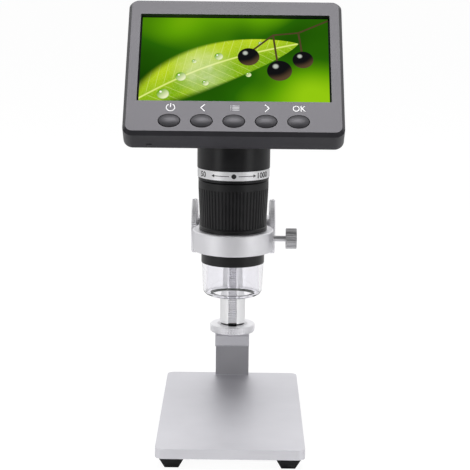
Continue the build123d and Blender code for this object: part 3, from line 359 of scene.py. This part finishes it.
def displayPicture(name):
    look = {
        "aspect": 95.04 / 53.86, "brightness": 0.96,
        "ground": [(0.0, (0.004, 0.035, 0.001)), (0.35, (0.022, 0.13, 0.002)), (0.62, (0.12, 0.36, 0.002)),
                   (1.0, (0.30, 0.60, 0.006))],
        "blob": 0.75, "contrast": 1.5, "darkness": 0.42,
        "glows": [((-0.55, 0.35, 0.7), 0.42), ((0.75, -0.45, 0.55), 0.5)],
        "leafBase": (-0.98, -0.52), "leafTip": (0.60, 0.20), "leafWidth": 0.66, "leafBow": 0.10,
        "leafEdge": 0.006, "leafBlur": 0.16, "baseRound": 0.55, "tipRound": 0.8,
        "leafDark": (0.16, 0.40, 0.003), "leafLight": (0.58, 0.74, 0.02), "leafTurn": (-0.12, 0.16),
        "vein": (0.80, 0.90, 0.25), "veinPitch": 0.095, "veinSlope": 0.75, "veinWidth": 0.006,
        "veinStart": (0.005, 0.03), "veinStrength": 0.55, "midrib": (0.013, 0.004), "midribStrength": 0.9,
        "netScale": 34.0, "netWidth": 0.06, "netStrength": 0.22,
        "sheen": (0.92, 0.95, 0.62), "sheenSpot": (-0.30, -0.12, 0.34), "sheenStrength": 0.75,
        "shadeSpot": (0.30, -0.22, 0.30), "shadeStrength": 0.5,
        "drops": [(-0.50, -0.20, 0.052), (-0.27, -0.27, 0.034), (-0.15, 0.04, 0.042), (-0.66, -0.40, 0.06),
                  (0.13, -0.17, 0.028), (-0.38, -0.02, 0.024), (0.24, 0.20, 0.022)],
        "dropEdge": 0.93, "dropRim": 0.78, "dropRimStrength": 0.6, "dropSlope": 0.45,
        "dropShine": (1.0, 1.0, 0.96), "dropShineAt": (-0.35, 0.38, 0.22),
        "stalk": [(0.92, 0.50), (0.60, 0.33), (0.36, 0.30), (0.17, 0.12)],
        "twigs": [((0.60, 0.33), (0.63, 0.10)), ((0.36, 0.30), (0.40, -0.02))],
        "stalkWidth": 0.011, "stalkCore": 0.7, "stalkColor": (0.055, 0.05, 0.012), "barkGrain": 0.03,
        "berries": [(0.13, 0.04, 0.105), (0.42, -0.12, 0.12), (0.64, 0.01, 0.10)],
        "berryDark": (0.006, 0.006, 0.007), "berryRim": (0.10, 0.06, 0.03), "berryRimRun": (0.3, 1.4),
        "berryEdge": 0.95, "berryShine": (0.65, 0.7, 0.62), "berryShineAt": (-0.3, 0.42, 0.30),
        "berryShineStrength": 0.8,
    }
    tree = finish(name)
    u, v = tree.split(tree.node("ShaderNodeUVMap", {"uv_map": "UVMap"})["UV"])[:2]
    x, y = (u - 0.5) * look["aspect"], v - 0.5
    flat = tree.node("ShaderNodeCombineXYZ", None, {"X": x, "Y": y, "Z": 0.37})["Vector"]

    def spot(cx, cy, radius):  # distance from a middle, 1 at the radius
        return tree.length(x - cx, y - cy) / radius

    def glow(cx, cy, radius, full=0.0):  # 0 at the radius, 1 at a share of it
        return tree.remap(spot(cx, cy, radius), 1.0, full)

    def shineOn(cx, cy, radius, at, full):  # a highlight, placed by the round thing's own radius
        return glow(cx + at[0] * radius, cy + at[1] * radius, at[2] * radius, full)

    def line(start, end):  # distance from a straight run
        (ax, ay), (bx, by) = start, end
        px, py = x - ax, y - ay
        share = tree.clamp((px * (bx - ax) + py * (by - ay)) / ((bx - ax) ** 2 + (by - ay) ** 2))
        return tree.length(px - share * (bx - ax), py - share * (by - ay))

    def ground():
        light = tree.noise(look["blob"], 0.6, flat) * look["contrast"] - look["darkness"]
        for place, strength in look["glows"]:
            light = light + glow(*place) * strength
        return tree.node("ShaderNodeValToRGB", {"stops": look["ground"]}, {"Fac": light})["Color"]

    def veins(run, away):  # side veins, the midrib and the fine net between them
        slanted = tree.math("PINGPONG", run - away * look["veinSlope"], look["veinPitch"] / 2)
        sides = tree.remap(slanted, look["veinWidth"], 0.0) * tree.remap(away, *look["veinStart"])
        midrib = tree.remap(away, *look["midrib"]) * look["midribStrength"]
        cells = tree.node("ShaderNodeTexVoronoi", {"feature": "DISTANCE_TO_EDGE"},
                          {"Vector": flat, "Scale": look["netScale"]})["Distance"]
        net = tree.remap(cells, look["netWidth"], 0.0) * look["netStrength"]
        return tree.high(tree.high(sides * look["veinStrength"], midrib), net)

    def leafOver(color):  # sharp towards the tip, out of focus at the base
        (ax, ay), (bx, by) = look["leafBase"], look["leafTip"]
        length = ((bx - ax) ** 2 + (by - ay) ** 2) ** 0.5
        dx, dy = (bx - ax) / length, (by - ay) / length
        along = ((x - ax) * dx + (y - ay) * dy) / length
        inside = tree.clamp(along)
        side = (y - ay) * dx - (x - ax) * dy - tree.math("SINE", inside * pi) * look["leafBow"]
        away = abs(side)
        width = (inside ** look["baseRound"]) * ((1 - inside) ** look["tipRound"]) * look["leafWidth"]
        blur = look["leafEdge"] + (1 - inside) * (1 - inside) * look["leafBlur"]
        mottle = tree.noise(0.22, 2.0, flat)
        tone = tree.remap(side, *look["leafTurn"]) * 0.55 + mottle * 0.65 - 0.1
        leaf = tree.mix(tone, look["leafDark"], look["leafLight"])
        leaf = tree.mix(veins(along * length, away), leaf, look["vein"])
        sheen = glow(*look["sheenSpot"], 0.1) * tree.noise(0.08, 3.0, flat) * look["sheenStrength"]
        leaf = tree.mix(sheen, leaf, look["sheen"])
        shade = glow(*look["shadeSpot"], 0.2) * look["shadeStrength"]
        leaf = tree.mix(shade, leaf, look["leafDark"])
        return tree.mix(tree.remap(width - away, 0.0, blur), color, leaf)

    def dewOver(color):
        for cx, cy, radius in look["drops"]:
            away = spot(cx, cy, radius)
            slope = ((x - cx) - (y - cy)) / radius * look["dropSlope"] + 0.5
            drop = tree.mix(slope, look["leafDark"], look["sheen"])
            rim = tree.remap(away, look["dropRim"], 1.0) * look["dropRimStrength"]
            drop = tree.mix(rim, drop, look["leafDark"])
            shine = shineOn(cx, cy, radius, look["dropShineAt"], 0.7)
            drop = tree.mix(shine, drop, look["dropShine"])
            color = tree.mix(tree.remap(away, 1.0, look["dropEdge"]), color, drop)
        return color

    def stalkOver(color):
        runs = list(zip(look["stalk"], look["stalk"][1:])) + look["twigs"]
        away = line(*runs[0])
        for run in runs[1:]:
            away = tree.low(away, line(*run))
        bark = tree.mix(tree.noise(look["barkGrain"], 2.0, flat), look["stalkColor"], look["berryRim"])
        edge = tree.remap(away, look["stalkWidth"], look["stalkWidth"] * look["stalkCore"])
        return tree.mix(edge, color, bark)

    def berriesOver(color):
        for cx, cy, radius in look["berries"]:
            away = spot(cx, cy, radius)
            slope = ((cy - y) + (x - cx) * 0.5) / radius
            rim = tree.remap(slope + away * 0.5, *look["berryRimRun"])
            berry = tree.mix(rim, look["berryDark"], look["berryRim"])
            shine = shineOn(cx, cy, radius, look["berryShineAt"], 0.35) * look["berryShineStrength"]
            berry = tree.mix(shine, berry, look["berryShine"])
            color = tree.mix(tree.remap(away, 1.0, look["berryEdge"]), color, berry)
        return color

    picture = berriesOver(stalkOver(dewOver(leafOver(ground()))))
    return tree.surface({"Base Color": (0.0, 0.0, 0.0, 1.0), "Roughness": 0.5, "Specular IOR Level": 0.0,
                         "Emission Color": picture, "Emission Strength": look["brightness"]})


# The finish of each of the record's slots

finishes = {
    "plate_aluminium": blastedMetal("plate_aluminium", {
        "grain": 0.16 * mm, "cloud": 14 * mm, "dark": (0.67, 0.665, 0.70), "light": (0.72, 0.715, 0.75),
        "roughness": 0.50, "spread": 0.10, "depth": 0.02 * mm, "strength": 0.35,
        "shade": (0.51, 0.507, 0.53)}),  # painted shade on the bracket's wall under its flange
    "cast_aluminium": blastedMetal("cast_aluminium", {
        "grain": 0.14 * mm, "cloud": 9 * mm, "dark": (0.81, 0.805, 0.835), "light": (0.87, 0.865, 0.89),
        "roughness": 0.50, "spread": 0.10, "depth": 0.02 * mm, "strength": 0.35}),
    "turned_aluminium": turnedMetal("turned_aluminium", {
        "mark": 0.14 * mm, "cloud": 6 * mm, "dark": (0.89, 0.885, 0.91), "light": (0.94, 0.935, 0.955),
        "roughness": 0.50, "spread": 0.10, "depth": 0.02 * mm, "strength": 0.3}),
    "column_steel": groundSteel("column_steel", {
        "mark": 0.12 * mm, "run": 1.6 * mm, "dark": (0.82, 0.82, 0.83), "light": (0.90, 0.90, 0.91),
        "roughness": 0.30, "spread": 0.08, "depth": 0.006 * mm, "strength": 0.25,
        "recess": (0.06, 0.06, 0.06)}),  # painted shade in the groove
    "rack_steel": groundSteel("rack_steel", {
        "mark": 0.10 * mm, "run": 0.7 * mm, "dark": (0.90, 0.895, 0.92), "light": (0.95, 0.945, 0.965),
        "roughness": 0.55, "spread": 0.10, "depth": 0.01 * mm, "strength": 0.3}),
    "dark_steel": platedSteel("dark_steel", {
        "grain": 0.8 * mm, "dark": (0.50, 0.498, 0.51), "light": (0.58, 0.578, 0.59),
        "roughness": 0.38, "spread": 0.10, "depth": 0.02 * mm, "strength": 0.3}),
    "nylon": mouldedPlastic("nylon", {
        "grain": 0.2 * mm, "cloud": 2 * mm, "dark": (0.80, 0.79, 0.73), "light": (0.87, 0.86, 0.81),
        "roughness": 0.5, "spread": 0.1, "gloss": 0.4, "depth": 0.01 * mm, "strength": 0.3}),
    "brass": platedSteel("brass", {
        "grain": 0.5 * mm, "dark": (0.66, 0.50, 0.24), "light": (0.80, 0.64, 0.34),
        "roughness": 0.32, "spread": 0.1, "depth": 0.01 * mm, "strength": 0.3}),
    "screw_steel": platedSteel("screw_steel", {
        "grain": 0.4 * mm, "dark": (0.30, 0.30, 0.31), "light": (0.42, 0.42, 0.43),
        "roughness": 0.34, "spread": 0.14, "depth": 0.01 * mm, "strength": 0.3}),
    "foot_rubber": mouldedRubber("foot_rubber", {
        "grain": 0.3 * mm, "cloud": 5 * mm, "dark": (0.012, 0.012, 0.013), "light": (0.04, 0.04, 0.04),
        "roughness": 0.62, "spread": 0.2, "gloss": 0.22, "depth": 0.03 * mm, "strength": 0.4}),
    "case_plastic": mouldedPlastic("case_plastic", {
        "grain": 0.22 * mm, "cloud": 18 * mm, "dark": (0.010, 0.010, 0.012), "light": (0.014, 0.014, 0.016),
        "roughness": 0.31, "spread": 0.05, "gloss": 0.40, "tint": (0.96, 0.93, 1.0), "depth": 0.010 * mm,
        "strength": 0.3}),
    "tube_plastic": mouldedPlastic("tube_plastic", {
        "grain": 0.3 * mm, "cloud": 10 * mm, "dark": (0.006, 0.006, 0.007), "light": (0.010, 0.010, 0.011),
        "roughness": 0.30, "spread": 0.08, "gloss": 0.36, "depth": 0.01 * mm, "strength": 0.25}),
    "grip_plastic": mouldedPlastic("grip_plastic", {
        "grain": 0.3 * mm, "cloud": 8 * mm, "dark": (0.006, 0.006, 0.007), "light": (0.010, 0.010, 0.011),
        "roughness": 0.38, "spread": 0.10, "gloss": 0.34, "depth": 0.01 * mm, "strength": 0.3}),
    "button_plastic": mouldedPlastic("button_plastic", {
        "grain": 0.25 * mm, "cloud": 6 * mm, "dark": (0.011, 0.011, 0.013), "light": (0.015, 0.015, 0.017),
        "roughness": 0.42, "spread": 0.04, "gloss": 0.56, "tint": (0.96, 0.93, 1.0), "depth": 0.008 * mm,
        "strength": 0.25}),
    "band_silver": printedFilm("band_silver", {
        "mark": 0.12 * mm, "cloud": 6 * mm, "dark": (0.87, 0.87, 0.885), "light": (0.92, 0.92, 0.935),
        "metal": 0.55, "roughness": 0.38, "spread": 0.1, "depth": 0.006 * mm, "strength": 0.3}),
    "clear_plastic": clearAcrylic("clear_plastic", {
        "wave": 5 * mm, "color": (0.89, 0.885, 0.912), "roughness": 0.02, "ior": 1.49,
        "depth": 0.03 * mm, "strength": 0.2}),
    "lens_glass": polishedGlass("lens_glass", {
        "wave": 3 * mm, "dark": (0.90, 0.93, 0.97), "light": (0.96, 0.97, 1.0), "roughness": 0.02,
        "ior": 1.52, "through": 0.85, "coat": 0.6, "coatTint": (0.6, 0.75, 1.0)}),
    "display": darkGlass("display_glass", {
        "smear": 12 * mm, "color": (0.006, 0.006, 0.007), "gloss": 0.02, "roughness": 0.45,
        "spread": 0.1, "ior": 1.5}),
    "screen_sheet": platedSteel("screen_sheet", {
        "grain": 1.5 * mm, "dark": (0.10, 0.10, 0.105), "light": (0.16, 0.16, 0.165),
        "roughness": 0.45, "spread": 0.1, "depth": 0.01 * mm, "strength": 0.3}),
    "circuit_board": circuitBoard("circuit_board", {
        "layout": {"offset": 0.37, "squash": 0.6, "squash_frequency": 3},
        "pitch": 260.0, "trackWidth": 0.035, "vias": 420.0, "padEdge": (0.16, 0.12),
        "mask": (0.006, 0.09, 0.035), "track": (0.02, 0.17, 0.07), "pad": (0.80, 0.72, 0.50),
        "metal": 0.9, "roughness": 0.38, "spread": 0.12, "depth": 0.03 * mm, "strength": 0.5}),
    "chip_black": mouldedPlastic("chip_black", {
        "grain": 0.1 * mm, "cloud": 2 * mm, "dark": (0.012, 0.012, 0.012), "light": (0.02, 0.02, 0.02),
        "roughness": 0.5, "spread": 0.1, "gloss": 0.4, "depth": 0.01 * mm, "strength": 0.4}),
    "lamp_white": mouldedPlastic("lamp_white", {
        "grain": 0.3 * mm, "cloud": 1 * mm, "dark": (0.80, 0.79, 0.62), "light": (0.88, 0.88, 0.84),
        "roughness": 0.3, "spread": 0.1, "gloss": 0.5, "depth": 0.01 * mm, "strength": 0.2}),
    "socket_steel": platedSteel("socket_steel", {
        "grain": 0.6 * mm, "dark": (0.58, 0.58, 0.59), "light": (0.70, 0.70, 0.71),
        "roughness": 0.28, "spread": 0.1, "depth": 0.01 * mm, "strength": 0.3}),
    "battery_foil": platedSteel("battery_foil", {
        "grain": 3 * mm, "dark": (0.62, 0.63, 0.65), "light": (0.74, 0.75, 0.77),
        "roughness": 0.35, "spread": 0.2, "depth": 0.15 * mm, "strength": 0.3}),
    "cable_film": mouldedPlastic("cable_film", {
        "grain": 0.5 * mm, "cloud": 4 * mm, "dark": (0.45, 0.19, 0.035), "light": (0.55, 0.25, 0.05),
        "roughness": 0.35, "spread": 0.1, "gloss": 0.5, "depth": 0.01 * mm, "strength": 0.3}),
}


def dressCadParts():
    for part in frame["record"]["subparts"]:
        mesh = frame["nodes"][part["node"]].data
        mesh.materials.clear()
        mesh.materials.append(finishes[part["material_slot"]])


# Modelling helpers

def deselectAll():
    if bpy.context.object and bpy.context.object.mode == "EDIT":
        bpy.ops.object.mode_set(mode="OBJECT")
    bpy.ops.object.select_all(action="DESELECT")


def activate(*pieces):
    deselectAll()
    for piece in pieces:
        piece.select_set(True)
    bpy.context.view_layer.objects.active = pieces[0]


def applyPlace(piece, place=None):  # the place goes into the mesh
    activate(piece)
    if place is not None:
        piece.matrix_world = place @ piece.matrix_world
    bpy.ops.object.transform_apply(location=True, rotation=True, scale=True)


def joinAs(name, pieces):
    activate(*pieces)
    bpy.ops.object.join()
    joined = bpy.context.object
    joined.name = joined.data.name = name
    return joined


def grow(piece, thickness):  # a flat shape becomes a thin closed one
    activate(piece)
    bpy.ops.object.mode_set(mode="EDIT")
    bpy.ops.mesh.select_all(action="SELECT")
    bpy.ops.mesh.normals_make_consistent(inside=False)
    bpy.ops.mesh.extrude_region_move(TRANSFORM_OT_translate={"value": (0, 0, thickness)})
    bpy.ops.mesh.select_all(action="SELECT")
    bpy.ops.mesh.normals_make_consistent(inside=False)
    bpy.ops.object.mode_set(mode="OBJECT")


def bar(middle, size, thickness, turn=0.0):  # a flat bar in the drawing plane, grown by its thickness
    deselectAll()
    bpy.ops.mesh.primitive_plane_add(size=1, location=(*middle, 0), rotation=(0, 0, turn))
    piece = bpy.context.object
    piece.scale = (*size, 1)
    applyPlace(piece)
    grow(piece, thickness)
    return piece


def lettering(text, middle, size, thickness, weight=0.0):  # text made a mesh, fitted to a width and height
    deselectAll()
    bpy.ops.object.text_add(location=(0, 0, 0))
    piece = bpy.context.object
    piece.data.body = text
    piece.data.resolution_u = 6
    piece.data.offset = weight
    bpy.ops.object.convert(target="MESH")
    piece = bpy.context.object
    grow(piece, thickness)
    xs = [v.co.x for v in piece.data.vertices]
    ys = [v.co.y for v in piece.data.vertices]
    wide, tall = size[0] / (max(xs) - min(xs)), size[1] / (max(ys) - min(ys))
    piece.scale = (wide, tall, 1)
    piece.location = (middle[0] - wide * (max(xs) + min(xs)) / 2,
                      middle[1] - tall * (max(ys) + min(ys)) / 2, 0)
    applyPlace(piece)
    return piece


def openRing(middle, radius, width, gap, thickness):  # open at its top by the gap's slope each side
    inner, outer = radius - width / 2, radius + width / 2
    growth = outer / inner
    deselectAll()
    bpy.ops.mesh.primitive_circle_add(vertices=72, radius=inner, fill_type="NOTHING", location=(*middle, 0))
    piece = bpy.context.object
    applyPlace(piece)
    bpy.ops.object.mode_set(mode="EDIT")
    bpy.ops.mesh.select_all(action="SELECT")
    bpy.ops.mesh.extrude_edges_move()
    bpy.ops.transform.resize(value=(growth, growth, 1), center_override=(*middle, 0))
    bpy.ops.mesh.select_all(action="DESELECT")
    bpy.ops.object.mode_set(mode="OBJECT")
    for face in piece.data.polygons:
        away = face.center - Vector((*middle, 0))
        face.select = away.y > 0 and abs(away.x) < away.y * gap
    bpy.ops.object.mode_set(mode="EDIT")
    bpy.ops.mesh.select_mode(type="FACE")
    bpy.ops.mesh.delete(type="FACE")
    bpy.ops.object.mode_set(mode="OBJECT")
    grow(piece, thickness)
    return piece


# The picture on the panel

def screenPicture():
    size = {"width": 95.8 * mm, "height": 54.3 * mm, "lift": 1.6 * mm, "film": 0.05 * mm}
    deselectAll()
    bpy.ops.mesh.primitive_plane_add(size=1, location=(0, 0, 0))
    piece = bpy.context.object
    piece.name = piece.data.name = "screen_picture"
    piece.scale = (size["width"], size["height"], 1)
    piece.location = (0, pictureMiddle + size["lift"], panelFront)
    applyPlace(piece)
    grow(piece, size["film"])
    applyPlace(piece, headPlace)
    piece.data.materials.append(displayPicture("display_picture"))
    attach(piece, "microscope")


# Marks over the buttons, drawn flat and then laid on the bezel

markSize = {"above": 8.0 * mm, "aside": 0.5 * mm, "line": 0.44 * mm, "film": 0.03 * mm}


def layOnBezel(name, parts, color):
    piece = joinAs(name, parts)
    applyPlace(piece, headPlace)
    piece.data.materials.append(color)
    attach(piece, "microscope")


def powerMark(x, y, color):  # the stem's place and length go by the ring's radius
    size = {"radius": 2.1 * mm, "gap": 0.62, "stemLift": 0.62, "stemLength": 1.15}
    radius, line, film = size["radius"], markSize["line"], markSize["film"]
    layOnBezel("mark_power", [
        openRing((x, y), radius, line, size["gap"], film),
        bar((x, y + radius * size["stemLift"]), (line, radius * size["stemLength"]), film)], color)


def chevronMark(name, side, x, y, color):
    size = {"arm": 3.0 * mm, "rise": 0.35, "slope": radians(46)}
    layOnBezel("mark_" + name, [
        bar((x, y + tilt * size["arm"] * size["rise"]), (size["arm"], markSize["line"]), markSize["film"],
            -side * tilt * size["slope"]) for tilt in (-1, 1)], color)


def menuMark(x, y, color):  # a list of four lines, each with a dot before it
    size = {"lines": 4, "width": 3.5 * mm, "pitch": 0.85 * mm, "line": 0.36 * mm, "dot": 0.45 * mm,
            "space": 0.7}
    parts = []
    for row in range(size["lines"]):
        level = y + (row - (size["lines"] - 1) / 2) * size["pitch"]
        dotMiddle = x - size["width"] / 2 - size["dot"] * size["space"]
        parts.append(bar((x + size["dot"], level), (size["width"], size["line"]), markSize["film"]))
        parts.append(bar((dotMiddle, level), (size["dot"], size["line"]), markSize["film"]))
    layOnBezel("mark_menu", parts, color)


def okMark(x, y, color):
    size = {"width": 6.5 * mm, "height": 3.5 * mm}
    letters = lettering("OK", (x, y), (size["width"], size["height"]), markSize["film"])
    layOnBezel("mark_ok", [letters], color)


def buttonMarks():
    white = ink("mark_white", (0.78, 0.78, 0.79), (0.90, 0.90, 0.90))
    grey = ink("mark_grey", (0.50, 0.50, 0.52), (0.58, 0.58, 0.60))
    x = {name: middle + markSize["aside"] for name, middle in buttonAcross.items()}
    y = buttonMiddle + markSize["above"]
    powerMark(x["power"], y, white)
    chevronMark("left", -1, x["left"], y, white)
    chevronMark("right", 1, x["right"], y, white)
    menuMark(x["menu"], y, grey)
    okMark(x["ok"], y, white)


# Numbers and a double arrow round the silver band

def arrow(side, size):  # one side's shaft and head, along the band
    inner, outer, tip = size["inner"], size["outer"], size["tip"]
    shaft = bar((side * (inner + outer) / 2, 0), (outer - inner, size["shaft"]), size["film"])
    deselectAll()
    bpy.ops.mesh.primitive_circle_add(vertices=3, radius=1, fill_type="NGON",
                                      rotation=(0, 0, -side * pi / 2))
    head = bpy.context.object
    applyPlace(head)
    headRadius = (tip - outer) / 1.5  # a triangle is 1.5 times as long as its circle's radius
    head.scale = (headRadius, size["head"] / sin(pi / 3), 1)
    head.location = (side * (tip - headRadius), 0, 0)
    applyPlace(head)
    grow(head, size["film"])
    return [shaft, head]


def wrapRoundBand(piece, halfLength, strip, aside):  # cut into strips first, so that it bends smoothly
    bpy.ops.object.mode_set(mode="EDIT")
    for step in range(int(2 * halfLength / strip)):
        bpy.ops.mesh.select_all(action="SELECT")
        bpy.ops.mesh.bisect(plane_co=(-halfLength + step * strip, 0, 0), plane_no=(1, 0, 0))
    bpy.ops.object.mode_set(mode="OBJECT")
    piece.rotation_euler = (radians(90), 0, 0)
    applyPlace(piece)
    xs = [v.co.x for v in piece.data.vertices]
    wrap = piece.modifiers.new("wrap", "SIMPLE_DEFORM")
    wrap.deform_method = "BEND"
    wrap.deform_axis = "Z"
    wrap.angle = (max(xs) - min(xs)) / bandRadius
    activate(piece)
    bpy.ops.object.modifier_apply(modifier="wrap")
    turn = Matrix.Rotation(aside / bandRadius, 4, "Z")
    piece.matrix_world = Matrix.Translation(bandCenter) @ turn @ Matrix.Translation((0, -bandRadius, 0))
    applyPlace(piece)


def bandMarks():
    size = {"film": 0.03 * mm, "aside": 0.25 * mm, "strip": 0.5 * mm, "dot": 1.27 * mm,
            "inner": 2.5 * mm, "outer": 10.6 * mm, "tip": 12.3 * mm, "shaft": 0.34 * mm, "head": 0.85 * mm,
            "tall": 2.9 * mm, "weight": 0.018, "fewMiddle": -18.6 * mm, "fewWidth": 4.4 * mm,
            "manyMiddle": 17.4 * mm, "manyWidth": 8.0 * mm}
    parts = [lettering(text, (size[which + "Middle"], 0), (size[which + "Width"], size["tall"]),
                       size["film"], size["weight"]) for text, which in (("50", "few"), ("1000", "many"))]
    deselectAll()
    bpy.ops.mesh.primitive_circle_add(vertices=32, radius=size["dot"], fill_type="NGON")
    dot = bpy.context.object
    grow(dot, size["film"])
    marks = joinAs("band_marks", [*parts, dot, *arrow(-1, size), *arrow(1, size)])
    wrapRoundBand(marks, size["manyMiddle"] + size["manyWidth"], size["strip"], size["aside"])
    marks.data.materials.append(ink("mark_black", (0.005, 0.005, 0.006), (0.012, 0.012, 0.013)))
    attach(marks, "microscope")


# Studio

def studioWorld():  # the camera sees white, and reflections are darker towards the front
    look = {"seen": 1.0, "behind": 1.0, "front": 0.32, "ambient": 0.28, "turn": (-0.25, 0.35)}
    world = bpy.data.worlds.new("studio")
    bpy.context.scene.world = world
    tree = Tree(world)
    path = tree.node("ShaderNodeLightPath")
    y = tree.split(tree.node("ShaderNodeTexCoord")["Generated"])[1]
    mirrored = tree.remap(y, *look["turn"], look["front"], look["behind"])
    seen = tree.high(path["Is Camera Ray"], path["Is Transmission Ray"])
    glossy = path["Is Glossy Ray"]
    level = look["ambient"] * (1 - glossy) + mirrored * glossy
    level = level * (1 - seen) + look["seen"] * seen
    background = tree.node("ShaderNodeBackground", None, {"Color": (1, 1, 1, 1), "Strength": level})
    tree.node("ShaderNodeOutputWorld", None, {"Surface": background["Background"]})


def studioFloor():
    look = {"size": 24.0, "grain": 0.4, "color": (0.93, 0.93, 0.935), "pale": (0.94, 0.94, 0.94),
            "seenWhite": 0.86, "seenLevel": 1.10, "near": -0.20, "far": -0.45,
            "farColor": (0.18, 0.18, 0.182)}
    deselectAll()
    bpy.ops.mesh.primitive_plane_add(size=look["size"], location=(0, 0, 0))
    floor = bpy.context.object
    floor.name = "studio_floor"
    tree = finish("floor_white")
    color = tree.mix(tree.noise(look["grain"]), look["color"], look["pale"])
    path = tree.node("ShaderNodeLightPath")
    away = tree.split(tree.position())[1]
    mirrored = path["Is Glossy Ray"] * tree.remap(away, look["near"], look["far"])
    color = tree.mix(mirrored, color, look["farColor"])  # reflections darken towards the front
    matte = tree.node("ShaderNodeBsdfDiffuse", None, {"Color": color})
    glow = tree.node("ShaderNodeEmission", None, {"Color": (1, 1, 1, 1), "Strength": look["seenLevel"]})
    seen = tree.high(path["Is Camera Ray"], path["Is Transmission Ray"]) * look["seenWhite"]
    blend = tree.node("ShaderNodeMixShader", None, {0: seen, 1: matte["BSDF"], 2: glow["Emission"]})
    tree.node("ShaderNodeOutputMaterial", None, {"Surface": blend["Shader"]})
    floor.data.materials.append(tree.owner)


def softBox(name, place, target, size, radiance):
    light = bpy.data.lights.new(name, "AREA")
    light.shape = "RECTANGLE"
    light.size, light.size_y = size
    light.energy = radiance * size[0] * size[1] * pi
    box = bpy.data.objects.new(name, light)
    bpy.context.collection.objects.link(box)
    box.location = place
    box.rotation_euler = (Vector(target) - Vector(place)).to_track_quat("-Z", "Y").to_euler()


def studioLights():
    target = (0, 0, 0.13)
    boxes = {
        "overhead": ((0, -0.21, 1.15), (0.62, 0.46), 9.8),
        "left_strip": ((-0.80, -0.66, 0.35), (0.42, 0.9), 2.1),
        "right_strip": ((0.80, -0.62, 0.35), (0.42, 0.9), 1.9),
    }
    for name, (place, size, radiance) in boxes.items():
        softBox(name, place, target, size, radiance)


def studioCamera():
    shot = {"place": (3.985 * mm, -766.93 * mm, 256.94 * mm), "pitch": 11.201, "yaw": -0.216, "roll": -0.603,
            "lens": 114.894, "sensor": 36}
    pitch, yaw, roll = (radians(shot[k]) for k in ("pitch", "yaw", "roll"))
    forward = Vector((sin(yaw) * cos(pitch), cos(yaw) * cos(pitch), -sin(pitch)))
    level = Vector((cos(yaw), -sin(yaw), 0))
    upright = Vector((sin(yaw) * sin(pitch), cos(yaw) * sin(pitch), cos(pitch)))
    right = level * cos(roll) - upright * sin(roll)
    up = level * sin(roll) + upright * cos(roll)
    camera = bpy.data.objects.new("camera", bpy.data.cameras.new("camera"))
    bpy.context.collection.objects.link(camera)
    turn = Matrix((right, up, -forward)).transposed()
    camera.matrix_world = Matrix.Translation(shot["place"]) @ turn.to_4x4()
    camera.data.lens = shot["lens"]
    camera.data.sensor_width = shot["sensor"]
    bpy.context.scene.camera = camera


bpy.context.scene.view_settings.view_transform = "Standard"
studioWorld()
studioFloor()
studioLights()
studioCamera()
print("studio set")
dressCadParts()
print("finishes on the carried parts")
screenPicture()
buttonMarks()
bandMarks()
print("picture and marks made")
